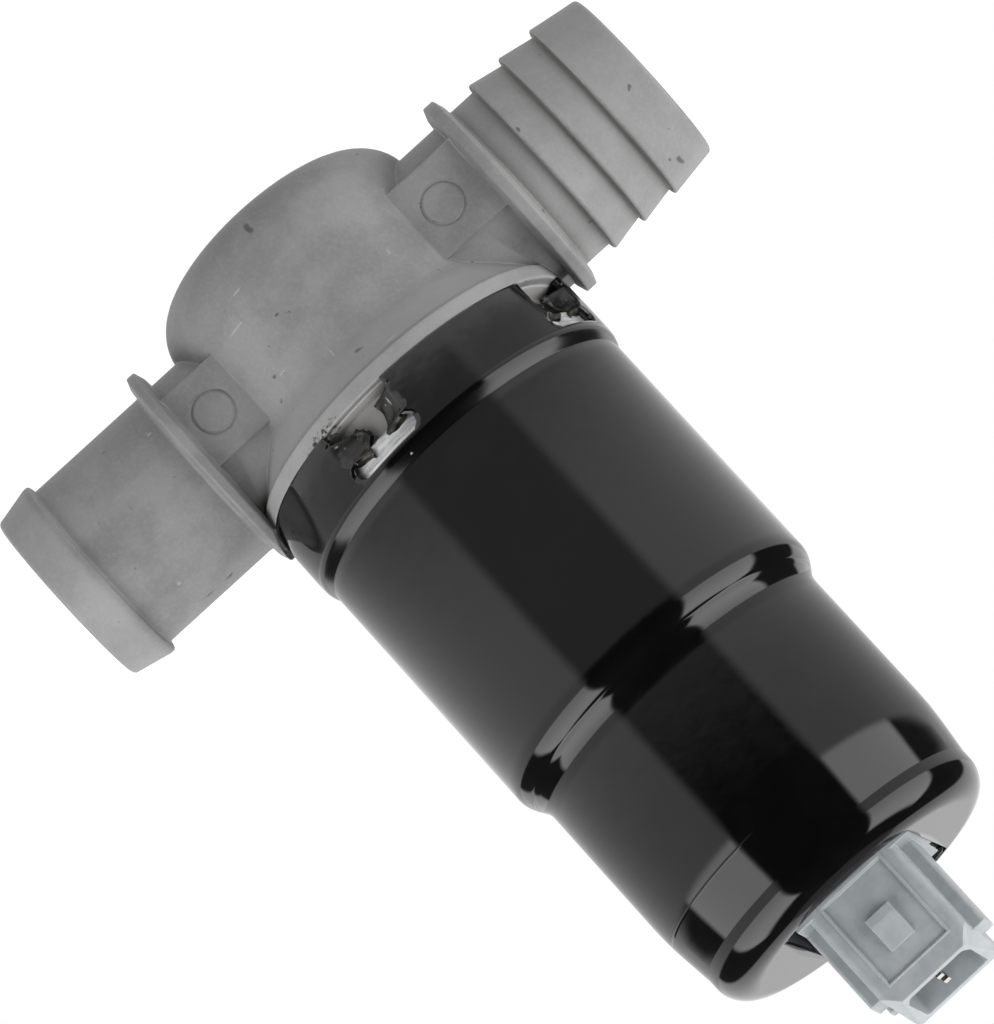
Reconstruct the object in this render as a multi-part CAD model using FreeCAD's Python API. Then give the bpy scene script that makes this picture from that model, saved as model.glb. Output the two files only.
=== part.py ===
"""Idle air control valve: a die-cast valve head with two hose stubs, and a
rotary actuator in a deep-drawn steel can that is staked to the head.

Lengths are in millimetres. +Z runs along the motor axis towards the
connector, and +X runs along the plain hose stub. The origin lies on the
motor axis, half way along the land that the mounting clamp grips.
"""

import FreeCAD
import Part
import math
import os
from FreeCAD import Vector

# Valve head: the chamber, seen from the hose axis
chamber_radius = 18.1
dome_height = 16.65
dome_edge_radius = 5.6
chamber_wall = 3.7
neck_start = 5.0
neck_blend_radius = 3.0
flange_inset = 0.1
flange_thickness = 2.1
flange_face = 12.6
flange_edge_radius = 0.3
flange_step = 0.5

# Valve head: the spigot that the can is pushed over
spigot_clearance = 0.1
spigot_length = 8.4
spigot_wall = 4.5
carrier_seat_depth = 6.0
stake_groove_depth = 2.2
stake_groove_slope = 0.5
stake_groove_height = 4.7
seal_groove_land = 1.3
seal_groove_width = 2.0
seal_groove_depth = 1.5

# Hose stubs
stub_tube_radius = 11.87
stub_bore_radius = 9.6
stub_bore_floor = 16.5
stub_edge_radius = 0.6
collar_radius = 14.45
collar_flank = 0.45
collar_flank_height = 1.3
collar_edge_radius = 0.2
collar_can_gap = 0.6
plain_collar_start = 21.7
plain_collar_width = 2.0
plain_stub_end = 45.9
bead_start = 40.3
bead_radius = 12.95
barbed_collar_start = 23.5
barbed_collar_width = 2.35
barbed_stub_end = 45.95
barb_steps = [29.7, 34.4, 39.3]
barb_crest_radius = 12.95
barb_valley_radius = 12.0
barbed_end_radius = 11.9
inlet_window_width = 15.0
inlet_window_height = 15.0
outlet_window_width = 10.0
outlet_window_height = 15.0
window_corner_radius = 2.0
window_start_inside = 5.0
window_overrun = 0.5

# Ejector pads beside the stubs, and the gussets under them
pad_plane = 11.9
pad_inner_end = 10.0
pad_top = 6.5
pad_bottom = 4.25
ejector_mark_radius = 2.8
ejector_mark_offset = 18.0
ejector_mark_drop = -1.15
ejector_mark_depth = 0.2
ejector_mark_width = 0.35
gusset_width = 4.4
gusset_start = 14.0

# Motor can
can_wall = 1.0
crimp_swell = 0.6
crimp_length = 8.8
crimp_bevel = 1.0
land_radius = 22.0
land_length = 34.1
lower_step = 1.65
shoulder_length = 2.4
shoulder_crest_radius = 4.0
shoulder_root_radius = 2.0
lower_length = 21.4
tail_step = 0.75
tail_taper_length = 5.4
can_length = 77.9
end_edge_radius = 3.7

# Stakes that hold the can to the head
stake_count = 4
stake_first_angle = -73.5
stake_width = 9.8
stake_slot_height = 2.0
stake_slot_rounding = 0.9
stake_cut_depth = 5.0
stake_slot_top = 4.3
stake_tab_top = 0.6
stake_tab_gap = 3.2
stake_tab_depth = 1.9

# Opening in the end of the can, and the connector that stands in it
connector_turn = 3.5
connector_offset = -0.45
end_opening_turn = 5.5
end_opening_half_width = 9.4
end_opening_offset = -0.3
end_opening_rim = 3.4
connector_height = 13.5
socket_half_width = 4.7
socket_half_depth = 8.3
socket_front_half_width = 4.0
socket_depth = 11.5
socket_wall_side = 1.8
socket_wall_front = 1.9
connector_edge_radius = 1.0
front_chamfer = 1.95
back_chamfer = 0.3
chamfer_height = 2.1
front_panel_half_width = 4.4
front_panel_depth = 0.2
front_panel_length = 11.0
panel_lip_width = 0.25
panel_lip_height = 0.12
latch_width = 3.4
latch_length = 4.7
latch_height = 1.1
latch_start = 3.8
rail_reach = 1.7
rail_front = -5.4
rail_back = 1.6
rail_edge_radius = 0.5
short_rail_length = 10.8
long_rail_length = 12.1
back_rib_reach = 1.1
back_rib_front = 5.2
back_rib_back = 8.6
back_rib_length = 10.9
platform_reach = 2.3
platform_sink = 0.3
platform_clearance = 0.15
front_recess_depth = 2.4
wing_reach = 0.6
wing_front = -8.5
wing_back = 4.4
base_thickness = 4.9
base_clearance = 0.1
base_skirt_wall = 1.7
base_rim = 0.5
connector_seal_section = 0.75
seal_groove_play = 0.1
vent_reach = 1.6
vent_back = 13.0

# Terminals
blade_width = 2.8
blade_thickness = 0.8
blade_pitch = 5.0
blade_below_mouth = 0.5
blade_point_length = 0.7
blade_point_width = 2.2
terminal_strip_thickness = 0.8
terminal_strip_width = 2.0

# Shaft
shaft_end_from_slide = 2.8
slide_seat_radius = 2.5
bearing_seat_radius = 3.0
shaft_collar_radius = 4.4
rotor_seat_radius = 4.0
rotor_shoulder_radius = 3.2
rear_seat_radius = 2.0
shaft_chamfer = 0.4
clip_groove_depth = 0.5
clip_thickness = 0.7
clip_outer_radius = 4.6
clip_opening_angle = 80.0

# Rotary slide
slide_clearance = 0.3
slide_wall = 2.2
slide_half_height = 9.6
slide_hub_radius = 5.0
slide_hub_half_height = 9.8
slide_web_thickness = 2.2
slide_half_angle = 24.0
slide_rest_angle = 10.0
slide_web_half_angle = 22.0

# Ball bearings
running_clearance = 0.05
ball_clearance = 0.1
ball_count = 7
front_bearing_radius = 9.5
front_bearing_width = 6.0
front_ball_radius = 1.6
rear_bearing_radius = 6.5
rear_bearing_width = 5.0
rear_ball_radius = 1.05
bearing_land = 0.75

# Bearing carrier and shaft seal
carrier_clearance = 0.05
carrier_flange_clearance = 0.1
carrier_flange_thickness = 1.5
carrier_boss_radius = 12.2
carrier_lip = 1.5
shaft_seal_radius = 6.5
shaft_seal_length = 2.2
carrier_hole_radius = 3.7

# Stop disc, stop pin and return spring
stop_travel = 60.0
stop_gap = 0.3
stop_pin_radius = 0.9
stop_pin_orbit = 10.8
stop_pin_seat = 1.8
stop_pin_height = 9.6
stop_disc_radius = 12.2
stop_disc_thickness = 2.5
stop_disc_start = 2.0
stop_notch_floor = 9.4
spring_wire_radius = 0.45
spring_mean_radius = 7.0
spring_pitch = 1.1
spring_turns = 2.75
spring_gap = 0.6
spring_hole_radius = 0.65

# Rotor and stator
stator_start = 36.0
stack_length = 34.0
air_gap = 0.4
magnet_thickness = 3.9
rotor_core_overhang = 0.5
magnet_to_stator = 7.8
magnet_angle = 168.0
stator_clearance = 0.05
yoke_thickness = 2.0
pole_half_width = 4.5
pole_shoe_thickness = 2.1
pole_shoe_half_angle = 60.0
bobbin_wall = 0.8
bobbin_flange_thickness = 0.7
bobbin_half_angle = 40.0
bobbin_end_reach = 4.5
winding_half_angle = 37.5
winding_end_reach = 3.9
link_wire_radius = 0.4

# Rear shield
shield_thickness = 3.5
shield_skirt_wall = 1.7
shield_boss_radius = 9.0
shield_lip = 0.9
shield_hole_radius = 3.0
wave_washer_thickness = 0.5
shield_slot_half_width = 1.5
rear_bearing_start = 5.5

# Places along the axis, counted from the hose axis before the part is set on its origin
land_top = flange_face + crimp_length + crimp_bevel
crimp_radius = land_radius + crimp_swell
flange_radius = crimp_radius - flange_inset
lower_radius = land_radius - lower_step
tail_radius = lower_radius - tail_step
end_opening_radius = tail_radius - end_opening_rim
land_end = land_top + land_length
shoulder_end = land_end + shoulder_length
lower_end = shoulder_end + lower_length
tail_ridge = lower_end + tail_taper_length
can_end = flange_face + can_length
can_end_inside = can_end - can_wall
shoulder_turn = math.atan2(land_radius - lower_radius, shoulder_length)
land_flat_end = land_end - shoulder_crest_radius * math.tan(shoulder_turn / 2)
hose_axis_z = -(land_top + land_flat_end) / 2.0
spigot_radius = crimp_radius - can_wall - spigot_clearance
spigot_end = flange_face + spigot_length
spigot_bore_radius = spigot_radius - spigot_wall
seal_groove_inner = spigot_radius - seal_groove_land - seal_groove_width
carrier_flange_radius = land_radius - can_wall - carrier_flange_clearance
carrier_seat = spigot_end - carrier_seat_depth
bore_radius = chamber_radius - chamber_wall
stack_end = stator_start + stack_length
front_bearing_start = carrier_seat + shaft_seal_length + 0.3 + carrier_lip
front_bearing_end = front_bearing_start + front_bearing_width
stop_disc_low = front_bearing_end + stop_disc_start
stop_disc_high = stop_disc_low + stop_disc_thickness
rotor_core_start = stator_start - rotor_core_overhang
rotor_core_end = stack_end + rotor_core_overhang
rear_bearing_low = stack_end + rear_bearing_start
rear_bearing_high = rear_bearing_low + rear_bearing_width
shield_high = lower_end
shield_low = shield_high - shield_thickness
slide_outer_radius = bore_radius - slide_clearance
stator_radius = lower_radius - can_wall - stator_clearance
magnet_radius = stator_radius - magnet_to_stator
rotor_core_radius = magnet_radius - magnet_thickness
pole_face_radius = magnet_radius + air_gap
yoke_inner_radius = stator_radius - yoke_thickness
shoe_back_radius = pole_face_radius + pole_shoe_thickness
terminal_tail_radius = (shoe_back_radius + yoke_inner_radius) / 2.0
base_high = can_end_inside
base_low = base_high - base_thickness
base_radius = tail_radius - can_wall - base_clearance
base_edge_radius = end_edge_radius - can_wall
connector_mouth = can_end + connector_height
blade_tip = connector_mouth - blade_below_mouth
connector_half_width = socket_half_width + socket_wall_side
connector_half_depth = socket_half_depth + socket_wall_front


def rounded_wire(corners, place):
    """A closed wire through corners (a, b, radius), each rounded by its radius.

    place turns the flat pair (a, b) into a point in space.
    """
    edges = []
    starts = []
    ends = []
    count = len(corners)
    for index in range(count):
        a, b, radius = corners[index]
        here = Vector(a, b, 0)
        before = Vector(corners[index - 1][0], corners[index - 1][1], 0)
        after = Vector(corners[(index + 1) % count][0], corners[(index + 1) % count][1], 0)
        if radius <= 0:
            starts.append(here)
            ends.append(here)
            edges.append(None)
            continue
        back = (before - here).normalize()
        forth = (after - here).normalize()
        half_angle = back.getAngle(forth) / 2.0
        reach = radius / math.tan(half_angle)
        middle_way = (back + forth).normalize()
        centre = here + middle_way * (radius / math.sin(half_angle))
        starts.append(here + back * reach)
        ends.append(here + forth * reach)
        edges.append(centre - middle_way * radius)
    parts = []
    for index in range(count):
        following = (index + 1) % count
        if edges[index] is not None:
            points = [place(p.x, p.y) for p in (starts[index], edges[index], ends[index])]
            parts.append(Part.Arc(*points).toShape())
        if ends[index].distanceToPoint(starts[following]) > 1e-6:
            line_start = place(ends[index].x, ends[index].y)
            line_end = place(starts[following].x, starts[following].y)
            parts.append(Part.LineSegment(line_start, line_end).toShape())
    return Part.Wire(parts)


def turned(corners):
    """A solid turned about the motor axis from (radius, height, rounding) corners."""
    wire = rounded_wire(corners, lambda r, h: Vector(r, 0, h))
    return Part.Face(wire).revolve(Vector(0, 0, 0), Vector(0, 0, 1), 360)


def turned_about_hose_axis(corners):
    """A solid turned about the hose axis from (along X, radius, rounding) corners."""
    wire = rounded_wire(corners, lambda x, r: Vector(x, 0, r))
    return Part.Face(wire).revolve(Vector(0, 0, 0), Vector(1, 0, 0), 360)


def prism(corners, low, high):
    """An upright prism on a plan of (x, y, rounding) corners, between two heights."""
    wire = rounded_wire(corners, lambda x, y: Vector(x, y, low))
    return Part.Face(wire).extrude(Vector(0, 0, high - low))


def block(x_low, x_high, y_low, y_high, low, high):
    return Part.makeBox(x_high - x_low, y_high - y_low, high - low, Vector(x_low, y_low, low))


def disc(radius, low, high):
    return Part.makeCylinder(radius, high - low, Vector(0, 0, low))


def ring(inner, outer, low, high):
    return disc(outer, low, high).cut(disc(inner, low, high))


def ring_sector(inner, outer, low, high, middle_angle, half_angle):
    """A piece of a ring, half_angle each way from middle_angle (degrees from +X)."""
    start = Vector(0, 0, low)
    up = Vector(0, 0, 1)
    whole = Part.makeCylinder(outer, high - low, start, up, 2 * half_angle)
    hole = Part.makeCylinder(inner, high - low, start, up)
    piece = whole.cut(hole)
    piece.rotate(Vector(0, 0, 0), up, middle_angle - half_angle)
    return piece


def turn(shape, angle):
    """The same shape turned about the motor axis."""
    moved = shape.copy()
    moved.rotate(Vector(0, 0, 0), Vector(0, 0, 1), angle)
    return moved


def fuse(shapes):
    return shapes[0].multiFuse(shapes[1:]).removeSplitter()


def chamber_body():
    """Outside of the chamber: domed cup, flared neck, flange ring and spigot."""
    flange_top = flange_face - flange_thickness
    neck_end_radius = flange_radius - flange_step
    return turned([
        (0, -dome_height, 0),
        (chamber_radius, -dome_height, dome_edge_radius),
        (chamber_radius, neck_start, neck_blend_radius),
        (neck_end_radius, flange_top, 0),
        (flange_radius, flange_top, flange_edge_radius),
        (flange_radius, flange_face, flange_edge_radius / 2),
        (spigot_radius, flange_face, 0),
        (spigot_radius - stake_groove_depth, flange_face + stake_groove_slope, 0),
        (spigot_radius - stake_groove_depth, flange_face + stake_groove_height, 0),
        (spigot_radius, flange_face + stake_groove_height, 0.3),
        (spigot_radius, spigot_end, 0.5),
        (0, spigot_end, 0),
    ])


def collar(side, start, width, tube_after):
    """Corners of the collar round a stub: two flanks that lean in to a flat rim."""
    end = start + width
    return [
        (side * start, stub_tube_radius, 0),
        (side * start, collar_radius - collar_flank_height, collar_edge_radius),
        (side * (start + collar_flank), collar_radius, collar_edge_radius),
        (side * (end - collar_flank), collar_radius, collar_edge_radius),
        (side * end, collar_radius - collar_flank_height, collar_edge_radius),
        (side * end, tube_after, 0.4),
    ]


def plain_stub():
    """Stub on the +X side: a collar, a plain tube and a bead at its mouth."""
    return turned_about_hose_axis([
        (pad_inner_end, 0, 0),
        (pad_inner_end, stub_tube_radius, 0),
    ] + collar(1, plain_collar_start, plain_collar_width, stub_tube_radius) + [
        (bead_start, stub_tube_radius, 0.3),
        (bead_start, bead_radius, 0.4),
        (bead_start + 0.8, bead_radius, 0.4),
        (plain_stub_end, stub_tube_radius, stub_edge_radius),
        (plain_stub_end, 0, 0),
    ])


def barbed_stub():
    """Stub on the -X side: a collar and three saw-tooth barbs."""
    corners = [
        (-pad_inner_end, 0, 0),
        (-pad_inner_end, stub_tube_radius, 0),
    ] + collar(-1, barbed_collar_start, barbed_collar_width, barb_valley_radius)
    ends = barb_steps[1:] + [barbed_stub_end]
    for step, end in zip(barb_steps, ends):
        corners.append((-step, barb_valley_radius, 0))
        corners.append((-step, barb_crest_radius, 0.3))
        if end < barbed_stub_end:
            corners.append((-end, barb_valley_radius, 0))
    corners.append((-barbed_stub_end, barbed_end_radius, stub_edge_radius))
    corners.append((-barbed_stub_end, 0, 0))
    unique = [corners[0]]
    for corner in corners[1:]:
        if corner[:2] != unique[-1][:2]:
            unique.append(corner)
    return turned_about_hose_axis(unique)


def pads_and_gussets():
    """Flat ejector pads on both sides of each stub, and a gusset under each stub."""
    pieces = []
    for side, collar in ((1, plain_collar_start), (-1, barbed_collar_start)):
        near, far = sorted((side * pad_inner_end, side * (collar + 0.3)))
        pieces.append(block(near, far, -pad_plane, pad_plane, -pad_top, pad_bottom))
        near, far = sorted((side * gusset_start, side * (collar + 0.3)))
        half = gusset_width / 2
        pieces.append(block(near, far, -half, half, 0, flange_face))
    return pieces


def port_window(side, width, height):
    """The window between the chamber bore and the flat floor of a stub's bore."""
    window_start = bore_radius - window_start_inside
    window_end = stub_bore_floor + window_overrun
    wire = rounded_wire([
        (-width / 2, -height / 2, window_corner_radius),
        (width / 2, -height / 2, window_corner_radius),
        (width / 2, height / 2, window_corner_radius),
        (-width / 2, height / 2, window_corner_radius),
    ], lambda y, h: Vector(side * window_start, y, h))
    return Part.Face(wire).extrude(Vector(side * (window_end - window_start), 0, 0))


def valve_housing():
    """The head: one aluminium die casting, with its machined bores."""
    casting = fuse([chamber_body(), plain_stub(), barbed_stub()] + pads_and_gussets())
    cuts = [
        disc(bore_radius, -dome_height + chamber_wall, spigot_end + 1),
        disc(spigot_bore_radius, carrier_seat, spigot_end + 1),
        ring(seal_groove_inner, seal_groove_inner + seal_groove_width,
             spigot_end - seal_groove_depth, spigot_end + 1),
        port_window(1, inlet_window_width, inlet_window_height),
        port_window(-1, outlet_window_width, outlet_window_height),
        ring(spigot_radius, crimp_radius + collar_can_gap, flange_face, spigot_end),
    ]
    for side, end in ((1, plain_stub_end), (-1, barbed_stub_end)):
        start = Vector(side * stub_bore_floor, 0, 0)
        cuts.append(Part.makeCylinder(stub_bore_radius, end, start, Vector(side, 0, 0)))
        for face in (1, -1):
            mark = Vector(side * ejector_mark_offset, face * (pad_plane - ejector_mark_depth), ejector_mark_drop)
            outward = Vector(0, face, 0)
            witness = Part.makeCylinder(ejector_mark_radius, 1.0, mark, outward)
            pin_face = Part.makeCylinder(ejector_mark_radius - ejector_mark_width, 1.0, mark, outward)
            cuts.append(witness.cut(pin_face))
    return casting.cut(cuts[0].multiFuse(cuts[1:]))


def stake_window():
    """Plan of one stake at +X: what is cut from the can's edge, and its two tabs."""
    half = stake_width / 2
    top = flange_face + stake_slot_top + stake_slot_height
    wire = rounded_wire([
        (-half, flange_face - 1, 0),
        (half, flange_face - 1, 0),
        (half, top, stake_slot_rounding),
        (-half, top, stake_slot_rounding),
    ], lambda y, h: Vector(crimp_radius - stake_cut_depth, y, h))
    cut = Part.Face(wire).extrude(Vector(stake_cut_depth + can_wall, 0, 0))
    root = math.sqrt((crimp_radius - can_wall / 2) ** 2 - half ** 2)
    tabs = []
    for side in (1, -1):
        outer = Vector(root, side * (half + 0.3), flange_face + stake_tab_top)
        inner = Vector(root - stake_tab_depth, side * stake_tab_gap / 2, flange_face + stake_tab_top)
        along = (inner - outer).normalize()
        across = Vector(-along.y, along.x, 0) * (can_wall / 2)
        wire = Part.makePolygon([outer + across, inner + across, inner - across, outer - across, outer + across])
        tabs.append(Part.Face(wire).extrude(Vector(0, 0, stake_slot_top - stake_tab_top)))
    return cut, tabs


def end_opening(clearance, low, high):
    """The opening in the can's end as a solid, made smaller all round by a clearance."""
    half = end_opening_half_width - clearance
    reach = end_opening_radius - clearance
    slot = block(end_opening_offset - half, end_opening_offset + half, -reach, reach, low, high)
    return turn(slot.common(disc(reach, low, high)), end_opening_turn)


def motor_can():
    """The can: one deep-drawn steel cup, staked to the head at its open edge."""
    inside_shift = can_wall * math.tan(shoulder_turn / 2)
    crimp_end = flange_face + crimp_length
    outside = turned([
        (0, flange_face, 0),
        (crimp_radius, flange_face, 0),
        (crimp_radius, crimp_end, 0.6),
        (land_radius, land_top, 0.6),
        (land_radius, land_end, shoulder_crest_radius),
        (lower_radius, shoulder_end, shoulder_root_radius),
        (lower_radius, lower_end, 0),
        (tail_radius, tail_ridge, 0),
        (tail_radius, can_end, end_edge_radius),
        (0, can_end, 0),
    ])
    inside = turned([
        (0, flange_face - 1, 0),
        (crimp_radius - can_wall, flange_face - 1, 0),
        (crimp_radius - can_wall, crimp_end, 0),
        (land_radius - can_wall, land_top, 0),
        (land_radius - can_wall, land_end - inside_shift, shoulder_crest_radius - can_wall),
        (lower_radius - can_wall, shoulder_end - inside_shift, shoulder_root_radius + can_wall),
        (lower_radius - can_wall, lower_end, 0),
        (tail_radius - can_wall, tail_ridge, 0),
        (tail_radius - can_wall, can_end_inside, end_edge_radius - can_wall),
        (0, can_end_inside, 0),
    ])
    shell = outside.cut(inside).cut(end_opening(0, can_end - end_edge_radius, can_end + 1))
    cut, tabs = stake_window()
    angles = [stake_first_angle + 360.0 / stake_count * number for number in range(stake_count)]
    shell = shell.cut([turn(cut, angle) for angle in angles])
    return fuse([shell] + [turn(tab, angle) for angle in angles for tab in tabs])


def housing_seal():
    """Rubber ring in the groove at the end of the spigot."""
    section = seal_groove_depth / 2 - 0.01
    middle = seal_groove_inner + seal_groove_width / 2
    return Part.makeTorus(middle, section, Vector(0, 0, spigot_end - seal_groove_depth / 2))


def bearing_carrier():
    """Turned disc between chamber and motor, with seats for the seal and a bearing."""
    pilot = spigot_bore_radius - carrier_clearance
    flange_end = spigot_end + carrier_flange_thickness
    boss_end = front_bearing_end
    seal_floor = carrier_seat + shaft_seal_length + 0.3
    return turned([
        (shaft_seal_radius, carrier_seat, 0),
        (pilot, carrier_seat, 0.4),
        (pilot, spigot_end, 0),
        (carrier_flange_radius, spigot_end, 0),
        (carrier_flange_radius, flange_end, 0.3),
        (carrier_boss_radius, flange_end, 0),
        (carrier_boss_radius, boss_end, 0.5),
        (front_bearing_radius, boss_end, 0),
        (front_bearing_radius, front_bearing_start, 0),
        (carrier_hole_radius, front_bearing_start, 0),
        (carrier_hole_radius, seal_floor, 0),
        (shaft_seal_radius, seal_floor, 0),
    ]).cut(stop_pin())


def shaft_seal():
    """Lip seal that keeps intake air out of the motor."""
    lip = bearing_seat_radius + running_clearance
    high = carrier_seat + shaft_seal_length
    return turned([
        (lip, carrier_seat + 0.9, 0),
        (lip, carrier_seat + 1.3, 0),
        (lip + 0.9, high, 0),
        (shaft_seal_radius, high, 0),
        (shaft_seal_radius, carrier_seat + 0.2, 0.3),
        (shaft_seal_radius - 1.0, carrier_seat + 0.2, 0),
        (shaft_seal_radius - 1.4, carrier_seat + 1.1, 0),
        (lip + 0.6, carrier_seat + 1.1, 0),
    ])


def bearing(bore, outer, low, width, ball_radius):
    """A ball bearing: its outer ring, inner ring and balls."""
    pitch = (bore + outer) / 2
    high = low + width
    middle = low + width / 2
    groove = Part.makeTorus(pitch, ball_radius + ball_clearance, Vector(0, 0, middle))
    outer_ring = ring(pitch + ball_radius * bearing_land, outer, low, high).cut(groove)
    inner_ring = ring(bore, pitch - ball_radius * bearing_land, low, high).cut(groove)
    balls = []
    for number in range(ball_count):
        angle = 2 * math.pi * number / ball_count
        centre = Vector(pitch * math.cos(angle), pitch * math.sin(angle), middle)
        balls.append(Part.makeSphere(ball_radius, centre))
    return outer_ring, inner_ring, Part.makeCompound(balls)


def rotor_shaft():
    """Stepped steel shaft, from the clip groove in the chamber to the rear bearing."""
    front_end = -slide_hub_half_height - shaft_end_from_slide
    shaft = turned([
        (0, front_end, 0),
        (slide_seat_radius - shaft_chamfer, front_end, 0),
        (slide_seat_radius, front_end + shaft_chamfer, 0),
        (slide_seat_radius, slide_hub_half_height, 0),
        (bearing_seat_radius, slide_hub_half_height, 0),
        (bearing_seat_radius, front_bearing_end, 0),
        (shaft_collar_radius, front_bearing_end, 0),
        (shaft_collar_radius, rotor_core_start, 0),
        (rotor_seat_radius, rotor_core_start, 0),
        (rotor_seat_radius, rotor_core_end, 0),
        (rotor_shoulder_radius, rotor_core_end, 0),
        (rotor_shoulder_radius, rear_bearing_low, 0),
        (rear_seat_radius, rear_bearing_low, 0),
        (rear_seat_radius, rear_bearing_high - shaft_chamfer, 0),
        (rear_seat_radius - shaft_chamfer, rear_bearing_high, 0),
        (0, rear_bearing_high, 0),
    ])
    clip_low = -slide_hub_half_height - clip_thickness
    groove = ring(slide_seat_radius - clip_groove_depth, slide_seat_radius + 1, clip_low, clip_low + clip_thickness)
    return shaft.cut(groove)


def rotary_slide():
    """Curved shutter on two webs and a hub, which covers the outlet window."""
    closed = 180.0 + slide_rest_angle
    inner = slide_outer_radius - slide_wall
    shutter = ring_sector(inner, slide_outer_radius, -slide_half_height, slide_half_height, closed, slide_half_angle)
    low_web = ring_sector(slide_seat_radius, inner + 0.5, -slide_half_height,
                          -slide_half_height + slide_web_thickness, closed, slide_web_half_angle)
    high_web = ring_sector(slide_seat_radius, inner + 0.5, slide_half_height - slide_web_thickness,
                           slide_half_height, closed, slide_web_half_angle)
    hub = disc(slide_hub_radius, -slide_hub_half_height, slide_hub_half_height)
    body = fuse([hub, low_web, high_web, shutter])
    return body.cut(disc(slide_seat_radius, -slide_hub_half_height - 1, slide_hub_half_height + 1))


def slide_clip():
    """Open retaining clip in the groove at the shaft's end."""
    low = -slide_hub_half_height - clip_thickness
    half = 180.0 - clip_opening_angle / 2
    return ring_sector(slide_seat_radius - clip_groove_depth, clip_outer_radius, low, low + clip_thickness, 90.0, half)


def stop_pin():
    """Pin in the carrier's boss, which limits the travel and anchors the spring."""
    low = front_bearing_end - stop_pin_seat
    return Part.makeCylinder(stop_pin_radius, stop_pin_height, Vector(stop_pin_orbit, 0, low))


def stop_disc():
    """Disc on the shaft with a notch that gives the slide its travel."""
    plate = ring(shaft_collar_radius, stop_disc_radius, stop_disc_low, stop_disc_high)
    end_angle = math.degrees(math.asin((stop_pin_radius + stop_gap) / stop_pin_orbit))
    half = stop_travel / 2 + end_angle
    notch = ring_sector(stop_notch_floor, stop_disc_radius + 1, stop_disc_low - 1, stop_disc_high + 1,
                        -stop_travel / 2, half)
    spring_hole = Part.makeCylinder(spring_hole_radius, stop_disc_thickness + 2,
                                    Vector(-spring_mean_radius, 0, stop_disc_low - 1))
    return plate.cut(notch).cut(spring_hole)


def return_spring():
    """Torsion spring round the shaft: one leg in the stop disc, one on the stop pin."""
    start = stop_disc_high + spring_gap
    height = spring_pitch * spring_turns
    path = Part.makeHelix(spring_pitch, height, spring_mean_radius)
    section = Part.Wire(Part.makeCircle(spring_wire_radius, Vector(spring_mean_radius, 0, 0), Vector(0, 1, 0)))
    coil = path.makePipeShell([section], True, True)
    coil = turn(coil, 180.0)
    coil.translate(Vector(0, 0, start))
    disc_leg = Part.makeCylinder(spring_wire_radius, spring_gap + 1.6,
                                 Vector(-spring_mean_radius, 0, start - spring_gap - 1.6))
    end_angle = math.radians(180.0 + 360.0 * spring_turns)
    end = Vector(spring_mean_radius * math.cos(end_angle), spring_mean_radius * math.sin(end_angle), start + height)
    bearing_side = Vector(stop_pin_orbit + stop_pin_radius, stop_pin_radius + spring_wire_radius, start + height)
    run = bearing_side - end
    pin_leg = Part.makeCylinder(spring_wire_radius, run.Length, end, run)
    return fuse([coil, disc_leg, pin_leg])


def rotor_core():
    return ring(rotor_seat_radius, rotor_core_radius, rotor_core_start, rotor_core_end)


def magnet(middle_angle):
    return ring_sector(rotor_core_radius, magnet_radius, stator_start, stack_end, middle_angle, magnet_angle / 2)


def flux_ring():
    """Soft steel sleeve that carries the stator in the wide part of the can."""
    low = spigot_end + carrier_flange_thickness
    high = land_end - shoulder_crest_radius / 2
    return ring(stator_radius, land_radius - can_wall, low, high)


def stator_core():
    """Laminated yoke with a pole on each side of the rotor."""
    pieces = [ring(yoke_inner_radius, stator_radius, stator_start, stack_end)]
    for angle in (-90.0, 90.0):
        pieces.append(ring_sector(pole_face_radius, shoe_back_radius, stator_start, stack_end,
                                  angle, pole_shoe_half_angle))
        neck = block(shoe_back_radius - 1, yoke_inner_radius + 0.5, -pole_half_width, pole_half_width,
                     stator_start, stack_end)
        pieces.append(turn(neck, angle))
    return fuse(pieces)


def pole_clearance(angle, extra):
    """The space of one pole neck, made larger all round by extra."""
    half = pole_half_width + extra
    neck = block(0, yoke_inner_radius + 5, -half, half, stator_start - extra, stack_end + extra)
    return turn(neck, angle)


def bobbin(angle):
    """Plastic former that fits over one pole, with a flange at each end."""
    low = stator_start - bobbin_end_reach
    high = stack_end + bobbin_end_reach
    inner_flange = ring_sector(shoe_back_radius, shoe_back_radius + bobbin_flange_thickness,
                               low, high, angle, bobbin_half_angle)
    outer_flange = ring_sector(yoke_inner_radius - bobbin_flange_thickness, yoke_inner_radius,
                               low, high, angle, bobbin_half_angle)
    core = ring(shoe_back_radius, yoke_inner_radius, low, high).common(pole_clearance(angle, bobbin_wall))
    return fuse([inner_flange, core, outer_flange]).cut(pole_clearance(angle, 0))


def winding(angle):
    """Enamelled copper wire, wound on one bobbin."""
    low = stator_start - winding_end_reach
    high = stack_end + winding_end_reach
    inner = shoe_back_radius + bobbin_flange_thickness
    outer = yoke_inner_radius - bobbin_flange_thickness
    pack = ring_sector(inner, outer, low, high, angle, winding_half_angle)
    return pack.cut(pole_clearance(angle, bobbin_wall))


def coil_link():
    """Wire that joins the two windings in series, round the end of the stator."""
    high = stack_end + winding_end_reach + link_wire_radius
    middle = (shoe_back_radius + yoke_inner_radius) / 2
    link = Part.makeTorus(middle, link_wire_radius, Vector(0, 0, high), Vector(0, 0, 1), 0, 360, 150)
    return turn(link, 105.0)


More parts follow.
